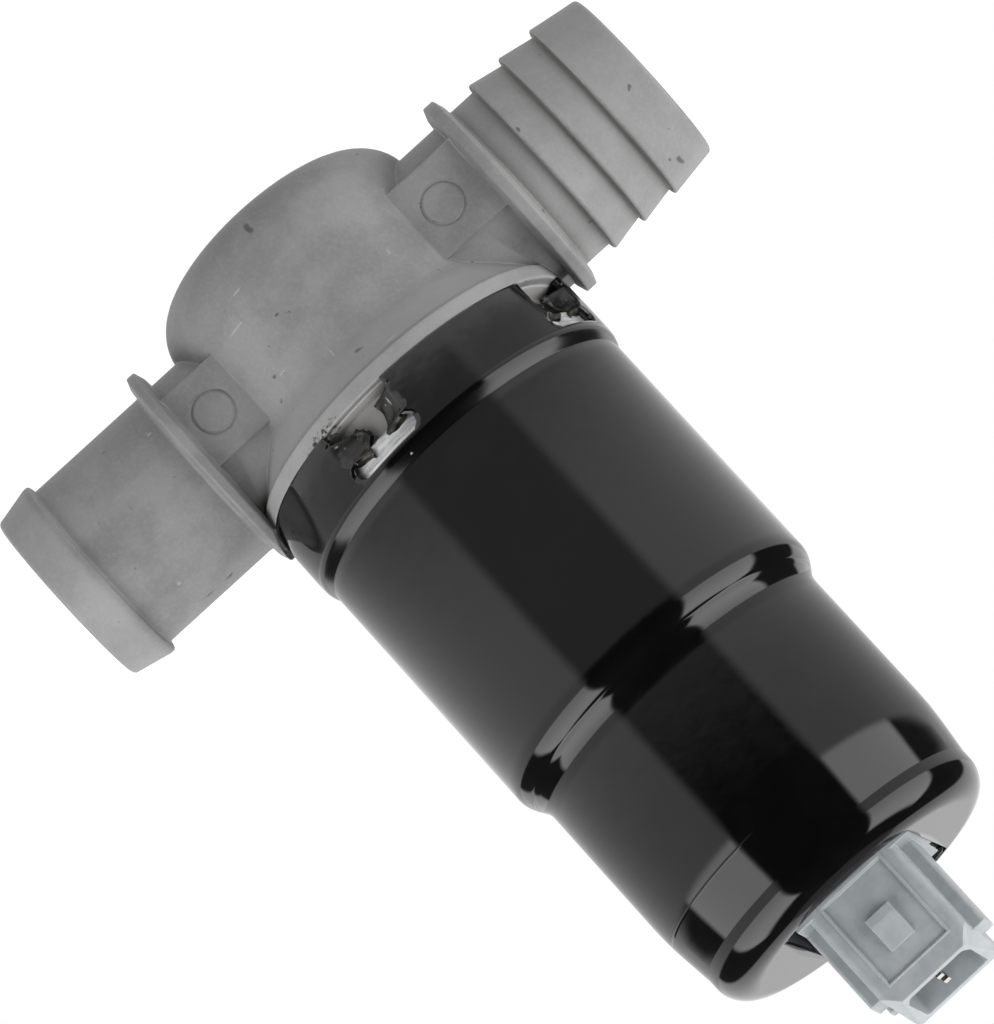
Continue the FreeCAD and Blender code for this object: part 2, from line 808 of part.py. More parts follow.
def rear_shield():
    """Plastic end shield with the seat of the rear bearing."""
    skirt_inner = stator_radius - shield_skirt_wall
    boss_low = rear_bearing_low
    boss_high = rear_bearing_high + wave_washer_thickness + shield_lip
    body = fuse([
        ring(skirt_inner, stator_radius, stack_end, shield_high),
        disc(stator_radius, shield_low, shield_high),
        disc(shield_boss_radius, boss_low, boss_high),
    ])
    cuts = [
        disc(rear_bearing_radius, boss_low - 1, boss_high - shield_lip),
        disc(shield_hole_radius, boss_low - 1, boss_high + 1),
    ]
    for side in (1, -1):
        half = shield_slot_half_width
        middle = side * terminal_tail_radius
        slot = block(-half, half, middle - half, middle + half, shield_low - 1, shield_high + 1)
        cuts.append(beside(slot))
    return body.cut(cuts[0].multiFuse(cuts[1:]))


def wave_washer():
    low = rear_bearing_high
    return ring(shield_hole_radius + 1.2, rear_bearing_radius, low, low + wave_washer_thickness)


def beside(shape):
    """The same shape at the connector's own place: a little off the axis and turned."""
    moved = shape.copy()
    moved.translate(Vector(connector_offset, 0, 0))
    return turn(moved, connector_turn)


def connector_shell():
    """Upright shell of the connector, with slanting corners at its mouth."""
    wide = connector_half_width
    deep = connector_half_depth
    rounding = connector_edge_radius
    shell = prism([(-wide, -deep, rounding), (wide, -deep, rounding), (wide, deep, rounding),
                   (-wide, deep, rounding)], can_end_inside, connector_mouth)
    return shell.cut([mouth_wedge(side) for side in (1, -1)])


def mouth_wedge(side):
    """Wedge that slants one side of the mouth, more at the front than at the back."""
    start = -connector_half_depth - 1
    length = 2 * connector_half_depth + 2
    edge = side * connector_half_width
    outer = edge + side * 4
    inner = edge - side * front_chamfer
    fall = 4 * chamfer_height / front_chamfer
    wire = Part.makePolygon([
        Vector(outer, start, connector_mouth - chamfer_height - fall),
        Vector(outer, start, connector_mouth + 1),
        Vector(inner, start, connector_mouth + 1),
        Vector(inner, start, connector_mouth),
        Vector(outer, start, connector_mouth - chamfer_height - fall),
    ])
    return Part.Face(wire).extrude(Vector(side * (front_chamfer - back_chamfer), length, 0))


def rail(near, far, front, back, length):
    """Upright rail on a side of the shell, rounded at its outer corners."""
    outer_rounding = rail_edge_radius
    return prism([(near, front, 0), (far, front, outer_rounding), (far, back, outer_rounding),
                  (near, back, 0)], can_end_inside, can_end + length)


def connector_body():
    """Outside of the connector above the can: shell, rails, rib and panel lip."""
    wide = connector_half_width
    lip_half = front_panel_half_width + panel_lip_width
    lip = block(-lip_half, lip_half, -connector_half_depth - panel_lip_height, -connector_half_depth + 1,
                can_end_inside, can_end + front_panel_length + panel_lip_width)
    return fuse([
        connector_shell(),
        lip,
        rail(wide - 1, wide + rail_reach, rail_front, rail_back, short_rail_length),
        rail(1 - wide, -wide - rail_reach, rail_front, rail_back, long_rail_length),
        rail(wide - 1, wide + back_rib_reach, back_rib_front, back_rib_back, back_rib_length),
    ])


def latch_ramp():
    """Ramp on the front of the connector that a plug's clip snaps over."""
    face = -connector_half_depth + front_panel_depth
    low = can_end + latch_start
    high = low + latch_length
    wire = Part.makePolygon([
        Vector(-latch_width / 2, face + 0.5, low),
        Vector(-latch_width / 2, face - latch_height, low + 0.3),
        Vector(-latch_width / 2, face - latch_height, low + 1.4),
        Vector(-latch_width / 2, face - 0.3, high),
        Vector(-latch_width / 2, face + 0.5, high),
        Vector(-latch_width / 2, face + 0.5, low),
    ])
    return Part.Face(wire).extrude(Vector(latch_width, 0, 0))


def connector_housing():
    """Moulded connector: base inside the can, platform, and the blade socket."""
    wide = connector_half_width
    deep = connector_half_depth
    base = turned([
        (0, base_low, 0),
        (base_radius - base_skirt_wall, base_low, 0),
        (base_radius - base_skirt_wall, lower_end, 0),
        (base_radius, lower_end, 0),
        (base_radius, base_high, base_edge_radius),
        (0, base_high, 0),
    ])
    platform_top = can_end - platform_sink
    half = wide + platform_reach
    rail_side = wide + rail_reach
    platform = [
        block(-half, rail_side, -deep, deep + 1.0, base_high - 1, platform_top),
        block(-half - wing_reach, -half + 1, wing_front, wing_back, base_high - 1, platform_top),
    ]
    platform = beside(fuse(platform)).common(end_opening(platform_clearance, base_high - 1, can_end))
    upper = connector_body()
    floor = connector_mouth - socket_depth
    socket = prism([
        (-socket_front_half_width, -socket_half_depth, 0.6),
        (socket_front_half_width, -socket_half_depth, 0.6),
        (socket_half_width, -socket_half_depth + 3.0, 0),
        (socket_half_width, socket_half_depth, 0.6),
        (-socket_half_width, socket_half_depth, 0.6),
        (-socket_half_width, -socket_half_depth + 3.0, 0),
    ], floor, connector_mouth + 1)
    panel = block(-front_panel_half_width, front_panel_half_width, -deep - 1, -deep + front_panel_depth,
                  can_end - 0.5, can_end + front_panel_length)
    upper = upper.cut([socket, panel]).fuse(latch_ramp()).removeSplitter()
    recess = block(-half, half, -tail_radius, -deep, base_high - front_recess_depth, base_high + 1)
    body = fuse([base.cut(beside(recess)), platform, beside(upper)])
    seal = connector_seal_place()
    groove = ring(base_radius - 2 * connector_seal_section + base_clearance, base_radius + 1,
                  seal - connector_seal_section - seal_groove_play, seal + connector_seal_section + seal_groove_play)
    vents = [
        block(rail_side, rail_side + vent_reach, -deep + 1.0, vent_back, base_low - 1, can_end),
        block(-half - vent_reach, -half, wing_back, vent_back, base_low - 1, can_end),
    ]
    return body.cut([terminal(side) for side in (1, -1)] + [groove] + [beside(vent) for vent in vents])


def terminal(side):
    """Blade, strip and tail of one terminal, stamped from one brass sheet."""
    middle = side * blade_pitch / 2
    half = blade_thickness / 2
    strip_low = base_low - terminal_strip_thickness
    wide = blade_width / 2
    point = blade_point_width / 2
    wire = Part.makePolygon([
        Vector(-half, middle - wide, strip_low),
        Vector(-half, middle + wide, strip_low),
        Vector(-half, middle + wide, blade_tip - blade_point_length),
        Vector(-half, middle + point, blade_tip),
        Vector(-half, middle - point, blade_tip),
        Vector(-half, middle - wide, blade_tip - blade_point_length),
        Vector(-half, middle - wide, strip_low),
    ])
    blade = Part.Face(wire).extrude(Vector(blade_thickness, 0, 0))
    strip_half = terminal_strip_width / 2
    near, far = sorted((middle, side * (terminal_tail_radius + terminal_strip_thickness / 2)))
    strip = block(-strip_half, strip_half, near, far, strip_low, base_low)
    tail_low = stack_end + bobbin_end_reach
    tail_middle = side * terminal_tail_radius
    tail = block(-strip_half / 2, strip_half / 2, tail_middle - terminal_strip_thickness / 2,
                 tail_middle + terminal_strip_thickness / 2, tail_low, base_low)
    return beside(fuse([blade, strip, tail]))


def connector_seal_place():
    """Height of the middle of the connector's rubber ring."""
    return base_low + connector_seal_section + seal_groove_play + base_rim


def connector_seal():
    """Rubber ring round the connector's base, against the inside of the can."""
    return Part.makeTorus(tail_radius - can_wall - connector_seal_section, connector_seal_section,
                          Vector(0, 0, connector_seal_place()))


def build():
    """Every sub-part, by node name."""
    front = bearing(bearing_seat_radius, front_bearing_radius, front_bearing_start,
                    front_bearing_width, front_ball_radius)
    rear = bearing(rear_seat_radius, rear_bearing_radius, rear_bearing_low,
                   rear_bearing_width, rear_ball_radius)
    return {
        "valve_housing": valve_housing(),
        "motor_can": motor_can(),
        "housing_seal": housing_seal(),
        "bearing_carrier": bearing_carrier(),
        "shaft_seal": shaft_seal(),
        "front_bearing_outer": front[0],
        "front_bearing_inner": front[1],
        "front_bearing_balls": front[2],
        "rotor_shaft": rotor_shaft(),
        "rotary_slide": rotary_slide(),
        "slide_clip": slide_clip(),
        "stop_pin": stop_pin(),
        "stop_disc": stop_disc(),
        "return_spring": return_spring(),
        "rotor_core": rotor_core(),
        "magnet_north": magnet(0.0),
        "magnet_south": magnet(180.0),
        "flux_ring": flux_ring(),
        "stator_core": stator_core(),
        "bobbin_front": bobbin(-90.0),
        "bobbin_back": bobbin(90.0),
        "winding_front": winding(-90.0),
        "winding_back": winding(90.0),
        "coil_link": coil_link(),
        "rear_bearing_outer": rear[0],
        "rear_bearing_inner": rear[1],
        "rear_bearing_balls": rear[2],
        "rear_shield": rear_shield(),
        "wave_washer": wave_washer(),
        "terminal_front": terminal(-1),
        "terminal_back": terminal(1),
        "connector_seal": connector_seal(),
        "connector_housing": connector_housing(),
    }


os.makedirs("parts", exist_ok=True)
for name, shape in build().items():
    shape.translate(Vector(0, 0, hose_axis_z))
    shape.exportStep("parts/" + name + ".step")
    solids = len(shape.Solids)
    print(name, "valid" if shape.isValid() else "BROKEN", solids, round(shape.Volume, 1))
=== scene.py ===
"""Looks of the idle air control valve: a matte grey die-cast head, a gloss black
enamelled steel can with struck stakes, and a pale moulded blade connector.

Everything is in metres in the frame of the CAD model: +Z runs along the motor
axis towards the connector and +X along the plain hose stub.
"""

import bpy
import math
from mathutils import Matrix, Vector, noise


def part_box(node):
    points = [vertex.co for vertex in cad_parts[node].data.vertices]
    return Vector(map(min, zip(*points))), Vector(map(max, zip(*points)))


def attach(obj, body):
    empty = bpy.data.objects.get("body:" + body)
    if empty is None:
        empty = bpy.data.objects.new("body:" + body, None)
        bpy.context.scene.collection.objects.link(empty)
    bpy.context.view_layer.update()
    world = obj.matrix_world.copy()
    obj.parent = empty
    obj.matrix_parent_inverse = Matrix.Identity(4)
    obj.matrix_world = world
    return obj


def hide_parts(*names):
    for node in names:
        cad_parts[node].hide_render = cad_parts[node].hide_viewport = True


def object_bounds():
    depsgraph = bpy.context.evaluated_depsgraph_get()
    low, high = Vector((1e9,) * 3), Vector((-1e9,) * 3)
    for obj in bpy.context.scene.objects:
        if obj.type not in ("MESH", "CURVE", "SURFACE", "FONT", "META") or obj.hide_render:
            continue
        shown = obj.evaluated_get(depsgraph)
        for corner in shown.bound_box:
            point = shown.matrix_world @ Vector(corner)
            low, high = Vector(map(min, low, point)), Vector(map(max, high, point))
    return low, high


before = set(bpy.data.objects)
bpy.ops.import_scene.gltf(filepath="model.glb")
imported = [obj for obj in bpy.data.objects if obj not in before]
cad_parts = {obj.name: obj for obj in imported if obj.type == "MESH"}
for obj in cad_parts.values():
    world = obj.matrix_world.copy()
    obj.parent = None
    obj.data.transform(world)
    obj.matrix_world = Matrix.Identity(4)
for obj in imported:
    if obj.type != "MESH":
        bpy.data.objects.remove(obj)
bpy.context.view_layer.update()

MM = 0.001
SMOOTH = {"interpolation_type": "SMOOTHSTEP"}

# The photograph's camera, fitted to the outline of the head and the can
CAMERA_PLACE = Vector((1.48, -703.1, 183.9)) * MM
CAMERA_TILT = math.radians(15.52)
CAMERA_ROLL = math.radians(42.3)
CAMERA_LENS = 219.9
CAMERA_SENSOR = 36.0

# Can: sizes that the fine mesh repeats, in millimetres, heights from the can's open edge
WALL = 1.0
CRIMP_RADIUS = 22.6
CRIMP_LENGTH = 8.8
CRIMP_BEVEL = 1.0
BEVEL_ROUNDING = 3.7
BEVEL_FOOT = 0.3
LAND_RADIUS = 22.0
LAND_LENGTH = 33.5
SHOULDER_CREST = 3.6
SHOULDER_CREASE = 1.25
CREASE_DEPTH = 0.1
CREASE_HALF = 0.15
LOWER_RADIUS = 20.35
SHOULDER_LENGTH = 2.6
SHOULDER_ROOT = 3.0
LOWER_LENGTH = 20.7
TAPER_ROUNDING = 36.0
TAIL_RADIUS = 19.55
TAIL_TAPER = 6.5
TAIL_ROUNDING = 0.8
END_EDGE_RADIUS = 3.7
CREASE_LINE = 67.7
OPENING_TURN = 5.5
OPENING_LEFT = 9.1
OPENING_RIGHT = 9.7
OPENING_RADIUS = 15.8

# Stakes: angles round the motor axis in degrees, sizes and heights in millimetres
STAKE_ANGLES = [-74.5, 16.5, 106.5, 205.0]
STAKE_WIDTH = 9.9
SLOT_TOP = 4.9
SLOT_HEIGHT = 2.5
SLOT_ROUNDING = 1.1
TAB_TOP = 1.3
TAB_GAP = 2.9
TAB_DEPTH = 1.9
TAB_DEPTH_LIMIT = 2.4
TAB_BULGE = 0.4
CRUMPLE_DEPTH = 0.75
CRUMPLE_TURN = 0.7
CRUMPLE_DROP = 0.25

# The two tabs of a stake, 1 for the larger angle: spring, droop and sag in millimetres, the rest in degrees
TABS = {
    1: {"spring": 0.7, "twist": 0.5, "lean": 1.8, "kick": 0.0, "droop": 0.5, "droop_power": 2, "sag": 1.1},
    -1: {"spring": 0.35, "twist": 1.2, "lean": 0.2, "kick": 1.6, "droop": 0.3, "droop_power": 1, "sag": 0.1},
}

# Mesh of the can: steps along the outline in millimetres, and round the axis in degrees
FINE_STEP = 0.22
COARSE_STEP = 1.3
ARC_STEP = 6.0
FINE_TURN = 0.6
COARSE_TURN = 1.6
FINE_MARGIN = 3
WARP_MARGIN = 5.0
WARP_DEPTH = 1.5
WARP_FADE = 0.8
END_ROWS = 8

# Places on the head, in millimetres: heights from the can's open edge, others from the motor axis
FLANGE_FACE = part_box("motor_can")[0].z / MM
SPIGOT_RADIUS = 21.65
FLANGE_STEP = -2.0
FLANGE_RIM = 22.65
FLARE_RADIUS = 22.0
COLLAR_PLACE = 24.2
BARB_END = -24.5
BEAD_END = 40.5

# Marks on the front: sideways place, height from the can's open edge and half sizes, in millimetres
# Dark spots: stains, and at sideways 10.5, height 6.5 painted shade in the end of the front stake's slot
HEAD_STAINS_AND_SHADE = [
    (0.7, -25.4, 0.5, 1.1), (10.0, -10.9, 0.38, 0.3), (0.7, -4.9, 0.65, 0.28), (5.0, -15.5, 0.35, 0.2),
    (-30.2, -13.9, 0.25, 0.45), (10.5, 6.5, 0.65, 0.8), (29.7, -0.83, 0.7, 0.05), (32.8, -0.83, 0.75, 0.035),
    (-42.0, -0.7, 0.4, 0.3),
]
HEAD_SCRATCHES = [
    (9.7, -18.2, 1.5, 0.16), (9.0, -10.4, 0.7, 0.15), (-9.5, -12.6, 0.14, 0.5),
    (-3.0, -2.9, 1.6, 0.14), (6.5, -21.0, 0.9, 0.12), (3.2, -7.4, 0.14, 0.8), (34.4, -2.74, 0.32, 0.15),
    (25.3, -17.3, 0.4, 0.2),
]
RING_MARKS = [(18.0, -13.5, 5.5, 5.5), (-17.9, -13.5, 5.5, 5.5)]
PAD_MARKS = [(17.6, -13.5, 7.6, 9.0), (-17.5, -13.5, 7.6, 9.0)]
RIM_SOOT = [(10.6, -0.3, 3.6, 0.75)]
PAINT_CHIPS = [(4.2, 9.1, 0.22, 0.2), (10.1, 1.9, 0.35, 0.22), (2.1, 2.5, 0.12, 0.7), (9.2, 0.1, 0.5, 0.12)]

# Light: edges of the tent in degrees from the front, and its levels
CAMERA_GAP = 38.5
SOFTBOX_END = 98.0
SWEEP_START = 140.0
SOFTBOX_LEVELS = (2.255, 3.08)
SIDE_LEVEL = 0.05
SWEEP_LEVEL = 1.05
HORIZON_LEVEL = 0.76
BELOW_LEVEL = 1.0
TABLE_LEVEL = 0.6
GAP_LEVELS = (0.31, 0.02)
OVERHEAD_LEVEL = 0.3
SKYLIGHT_LEVELS = (1.323, 0.735)
UNDERSIDE_LOSS = 0.35

# Light: where each level starts and where it is full, as the rise of a direction (1 is straight up)
SOFTBOX_SPAN = (-0.1, 0.6)
SOFTBOX_TOP = (0.79, 0.67)
TENT_FOOT = (-0.08, -0.13)
BELOW_START = (-0.215, -0.24)
TABLE_START = (-0.255, -0.29)
GAP_FOOT = (-0.232, -0.212)
SKYLIGHT_START = (0.2, 0.85)
UNDERSIDE_START = (0.0, -0.3)
OVERHEAD_WAY = (0, 0.3, 0.954)
OVERHEAD_EDGE = (0.94, 0.96)

# Floor, in metres
FLOOR_RADIUS = 0.45
FLOOR_DROP = 0.1
FLOOR_FADE = (0.24, 0.43)
FLOOR_SHARES = (0.75, 1.0)
FLOOR_GLOW = 1.21


def linear(code):
    """An sRGB hex colour as a linear RGBA value."""
    channels = []
    for start in (0, 2, 4):
        value = int(code[start:start + 2], 16) / 255
        channels.append(value / 12.92 if value <= 0.04045 else ((value + 0.055) / 1.055) ** 2.4)
    return (*channels, 1.0)


def per_metre(size_mm):
    """The texture scale that gives features of this size."""
    return 1.0 / (size_mm * MM)


def add(tree, kind, *values, out=0, **named):
    """One shader node, and the output asked for. Values are for its sockets in order, or by name with
    a capital, or by number with in_; other names are its settings. A value of None leaves the socket."""
    node = tree.nodes.new("ShaderNode" + kind)
    sockets = dict(enumerate(values))
    for name, value in named.items():
        if name.startswith("in_"):
            sockets[int(name[3:])] = value
        elif name[0].isupper():
            sockets[name.replace("_", " ")] = value
        else:
            setattr(node, name, value)
    for key, value in sockets.items():
        if isinstance(value, bpy.types.NodeSocket):
            tree.links.new(value, node.inputs[key])
        elif value is not None:
            node.inputs[key].default_value = value
    return node.outputs[out] if len(node.outputs) else None


def new_material(name):
    """A material with an empty tree, and the object's own coordinates."""
    material = bpy.data.materials.new(name)
    material.use_nodes = True
    tree = material.node_tree
    tree.nodes.clear()
    return material, tree, add(tree, "TexCoord", out="Object")


def surface(tree, **sockets):
    """The material's surface shader with these values in its sockets."""
    add(tree, "OutputMaterial", add(tree, "BsdfPrincipled", **sockets))


def all_of(tree, *masks):
    """The mask of where all these masks meet: their product."""
    product = masks[0]
    for mask in masks[1:]:
        product = add(tree, "Math", product, mask, operation="MULTIPLY")
    return product


def span(tree, value, start, full, fade, end):
    """A mask that comes in from start to full and goes out from fade to end."""
    return all_of(tree, add(tree, "MapRange", value, start, full, **SMOOTH),
                  add(tree, "MapRange", value, end, fade, **SMOOTH))


def near(tree, value, centre, none, full):
    """A mask about a centre: nothing at the first distance from it, all of it at the second."""
    away = add(tree, "Math", value, centre, operation="SUBTRACT")
    away = add(tree, "Math", away, operation="ABSOLUTE")
    return add(tree, "MapRange", away, none, full, **SMOOTH)


def coats(tree, colour, *layers):
    """A colour under layers of (amount, colour), each a hex value or a socket, laid one on another."""
    for amount, over in layers:
        colour = linear(colour) if isinstance(colour, str) else colour
        over = linear(over) if isinstance(over, str) else over
        colour = add(tree, "Mix", amount, in_6=colour, in_7=over, out=2, data_type="RGBA")
    return colour


def relief(tree, normal, *layers):
    """The shading normal under reliefs of (height, depth in millimetres), laid one on another."""
    for height, depth_mm in layers:
        normal = add(tree, "Bump", Height=height, Strength=1.0, Distance=depth_mm * MM, Normal=normal)
    return normal


def height_in_part(tree, place):
    """Height above the can's open edge and distance from the motor axis, both in millimetres."""
    high = add(tree, "Math", add(tree, "SeparateXYZ", place, out="Z"), 1 / MM, operation="MULTIPLY")
    high = add(tree, "Math", high, FLANGE_FACE, operation="SUBTRACT")
    flat = add(tree, "VectorMath", place, (1 / MM, 1 / MM, 0), operation="MULTIPLY")
    return high, add(tree, "VectorMath", flat, operation="LENGTH", out="Value")


def softened_edges(tree, radius_mm):
    """The normal of edges rounded by this radius, and a mask of where the edges are."""
    rounded = add(tree, "Bevel", Radius=radius_mm * MM, samples=8)
    plain = add(tree, "NewGeometry", out="Normal")
    same = add(tree, "VectorMath", rounded, plain, operation="DOT_PRODUCT", out="Value")
    return rounded, add(tree, "MapRange", same, 0.985, 0.86, **SMOOTH)


def corners(tree, distance_mm):
    """How open a place is to its own piece, from 0 in a tight corner to 1."""
    return add(tree, "AmbientOcclusion", Distance=distance_mm * MM, samples=6, only_local=True, out="AO")


def marks(tree, place, spots, rough_mm):
    """A mask of small marks on the front, each an uneven oval about its own place."""
    front = add(tree, "MapRange", add(tree, "SeparateXYZ", place, out="Y"), 0.0, -0.001, **SMOOTH)
    uneven = add(tree, "TexNoise", place, Scale=per_metre(rough_mm), Detail=2.0, Roughness=0.6)
    uneven = add(tree, "Math", uneven, 1.8, operation="MULTIPLY")
    mask = 0.0
    for sideways, high, half_width, half_height in spots:
        centre = (sideways * MM, 0, (high + FLANGE_FACE) * MM)
        moved = add(tree, "VectorMath", place, centre, operation="SUBTRACT")
        size = (1 / (half_width * MM), 0, 1 / (half_height * MM))
        scaled = add(tree, "VectorMath", moved, size, operation="MULTIPLY")
        away = add(tree, "VectorMath", scaled, operation="LENGTH", out="Value")
        away = add(tree, "Math", away, uneven, operation="ADD")
        spot = add(tree, "MapRange", away, 1.9, 1.35, **SMOOTH)
        mask = add(tree, "Math", mask, spot, operation="MAXIMUM")
    return all_of(tree, mask, front)


def cast_skin(tree, place, high, out, edges, cloud, grain):
    """Colour of the casting's skin: clouded, pale where it is worn or was gripped, with painted shade in its
    corners, under the barbs' lips and on the dome end, and painted light on the flare and in the pads' ring
    grooves.
    """
    blot = add(tree, "TexNoise", place, Scale=per_metre(1.5), Detail=3.0, Roughness=0.55)
    sideways = add(tree, "SeparateXYZ", place, out="X")
    barbs = add(tree, "MapRange", sideways, BARB_END * MM, (BARB_END - 2.0) * MM, **SMOOTH)
    bead = add(tree, "MapRange", sideways, BEAD_END * MM, (BEAD_END + 1.5) * MM, **SMOOTH)
    gripped = add(tree, "Math", barbs, bead, operation="MAXIMUM")
    # The pads' ring grooves: painted light fills their shade, and wear and painted shade are kept off them
    ringed = marks(tree, place, RING_MARKS, 9.0)
    off_rings = add(tree, "Math", 1.0, ringed, operation="SUBTRACT")
    off_pads = add(tree, "Math", 1.0, marks(tree, place, PAD_MARKS, 9.0), operation="SUBTRACT")
    beside = add(tree, "Math", sideways, operation="ABSOLUTE")
    collar = near(tree, beside, COLLAR_PLACE * MM, 2.4 * MM, 1.8 * MM)
    worn = add(tree, "MapRange", blot, 0.35, 0.6, 0.35, 0.75, **SMOOTH)
    worn = add(tree, "Math", worn, all_of(tree, collar, 0.5), operation="ADD")
    worn = add(tree, "Math", 1.0, all_of(tree, edges, worn), operation="MINIMUM")
    # Painted light: the flare and the web under the pads, next to the flange, are painted paler, as if lit
    # from the connector's side
    lit_flare = span(tree, high, -9.0, -5.0, FLANGE_STEP - 0.8, FLANGE_STEP)
    lit_flare = all_of(tree, lit_flare, add(tree, "MapRange", out, FLARE_RADIUS + 0.4, FLARE_RADIUS, **SMOOTH))
    rim = all_of(tree, add(tree, "MapRange", high, FLANGE_STEP - 0.2, FLANGE_STEP, **SMOOTH),
                 span(tree, out, FLARE_RADIUS - 0.1, FLARE_RADIUS + 0.1, FLANGE_RIM - 0.05, FLANGE_RIM))
    # Painted shade: the skin is darkened where ambient occlusion finds a tight corner, and at the roots of
    # the barbs' lips
    openness = corners(tree, distance_mm=1.6)
    hollow = add(tree, "MapRange", openness, 0.66, 0.28, **SMOOTH)
    painted_shade = all_of(tree, hollow, add(tree, "MapRange", cloud, 0.3, 0.6, 0.2, 0.7, **SMOOTH))
    roots = all_of(tree, add(tree, "MapRange", openness, 0.95, 0.6, 0.0, 0.65, **SMOOTH), gripped)
    painted_shade = add(tree, "Math", painted_shade, roots, operation="MAXIMUM")
    return coats(
        tree, "868686",
        (add(tree, "MapRange", cloud, 0.36, 0.64, **SMOOTH), "969696"),
        (add(tree, "MapRange", grain, 0.42, 0.72, 0.0, 0.28, **SMOOTH), "A8A8A8"),
        (all_of(tree, gripped, 0.3), "B2B2B2"),
        (all_of(tree, worn, off_pads, off_rings), "C2C2C2"),
        # painted shade: the dome end, away from the connector, is darker
        (add(tree, "MapRange", high, -18.0, -26.0, 0.0, 0.16, **SMOOTH), "3C3B3A"),
        # painted light on the flare next to the flange
        (all_of(tree, lit_flare, 0.5), "B0B0B0"),
        # painted light in the ring grooves, strongest where ambient occlusion finds them
        (all_of(tree, hollow, ringed), "BEBEBE"),
        # painted shade in tight corners and under the barbs' lips, kept off the ring grooves
        (all_of(tree, painted_shade, off_rings), "4B4740"),
        (add(tree, "MapRange", blot, 0.7, 0.76, 0.0, 0.7, **SMOOTH), "4C4B49"),
        (all_of(tree, rim, 0.3), "B2B2B1"),
    )


def turned_spigot(tree, place, high, out):
    """The turned spigot behind the struck windows: its mask, colour, metallic share and roughness, with a
    painted highlight along each slot's edge nearer the connector.
    """
    bare = all_of(tree, add(tree, "MapRange", high, 0.02, 0.1, **SMOOTH),
                  add(tree, "MapRange", out, SPIGOT_RADIUS + 0.02, SPIGOT_RADIUS - 0.02, **SMOOTH))
    scratch = add(tree, "Mapping", place, Rotation=(0.4, 0.3, 0.8), Scale=(1, 1, 5))
    scratch = add(tree, "TexNoise", scratch, Scale=per_metre(2.0), Detail=3.0, Roughness=0.55)
    lip = add(tree, "MapRange", high, TAB_TOP + 0.3, TAB_TOP - 0.2, **SMOOTH)
    # Painted highlight: a bright line on the spigot near the slot's edge nearer the connector
    glint_line = near(tree, high, SLOT_TOP + SLOT_HEIGHT - 0.5, 0.2, 0.1)
    bright = add(tree, "Math", glint_line, all_of(tree, lip, 0.8), operation="MAXIMUM")
    groove = add(tree, "MapRange", out, SPIGOT_RADIUS - 0.35, SPIGOT_RADIUS - 0.9, **SMOOTH)
    metal = coats(
        tree, "B4B5B6",
        (add(tree, "MapRange", scratch, 0.35, 0.65, **SMOOTH), "DCDDDE"),
        (bright, "F0F0F0"),
        (all_of(tree, groove, 0.9), "A8A6A4"),
    )
    dull = add(tree, "Math", groove, lip, operation="MAXIMUM")
    metallic = add(tree, "Mix", dull, in_2=0.55, in_3=0.12)
    return bare, metal, metallic, add(tree, "MapRange", scratch, 0.3, 0.7, 0.36, 0.5, **SMOOTH)


def cast_aluminium():
    """As-cast aluminium alloy, blasted: matte neutral grey skin, painted shade in its corners, bare where
    turned.
    """
    material, tree, place = new_material("cast_aluminium")
    high, out = height_in_part(tree, place)
    rounded, edges = softened_edges(tree, radius_mm=0.45)
    cloud = add(tree, "TexNoise", place, Scale=per_metre(7.0), Detail=5.0, Roughness=0.62)
    grain = add(tree, "TexNoise", place, Scale=per_metre(0.5), Detail=5.0, Roughness=0.65)
    pits = add(tree, "TexVoronoi", place, Scale=per_metre(1.1))
    bare, metal, metallic, polish = turned_spigot(tree, place, high, out)
    sooty = add(tree, "MapRange", grain, 0.46, 0.58, **SMOOTH)
    colour = coats(
        tree, cast_skin(tree, place, high, out, edges, cloud, grain),
        (bare, metal),
        (all_of(tree, marks(tree, place, HEAD_SCRATCHES, 0.7), 0.6), "BDBDBC"),
        # dark spots: stains, and painted shade at the end of one slot
        (all_of(tree, marks(tree, place, HEAD_STAINS_AND_SHADE, 0.6), 0.65), "2C2A28"),
        (all_of(tree, marks(tree, place, RIM_SOOT, 1.5), sooty), "2A241B"),
    )
    matte = add(tree, "MapRange", cloud, 0.3, 0.7, 0.5, 0.62, **SMOOTH)
    pitted = add(tree, "MapRange", pits, 0.02, 0.13, **SMOOTH)
    surface(
        tree,
        Base_Color=colour,
        Metallic=add(tree, "Mix", bare, in_2=0.12, in_3=metallic),
        Roughness=add(tree, "Mix", bare, in_2=matte, in_3=polish),
        Normal=relief(tree, rounded, (pitted, 0.025), (cloud, 0.09), (grain, 0.045)),
    )
    return material


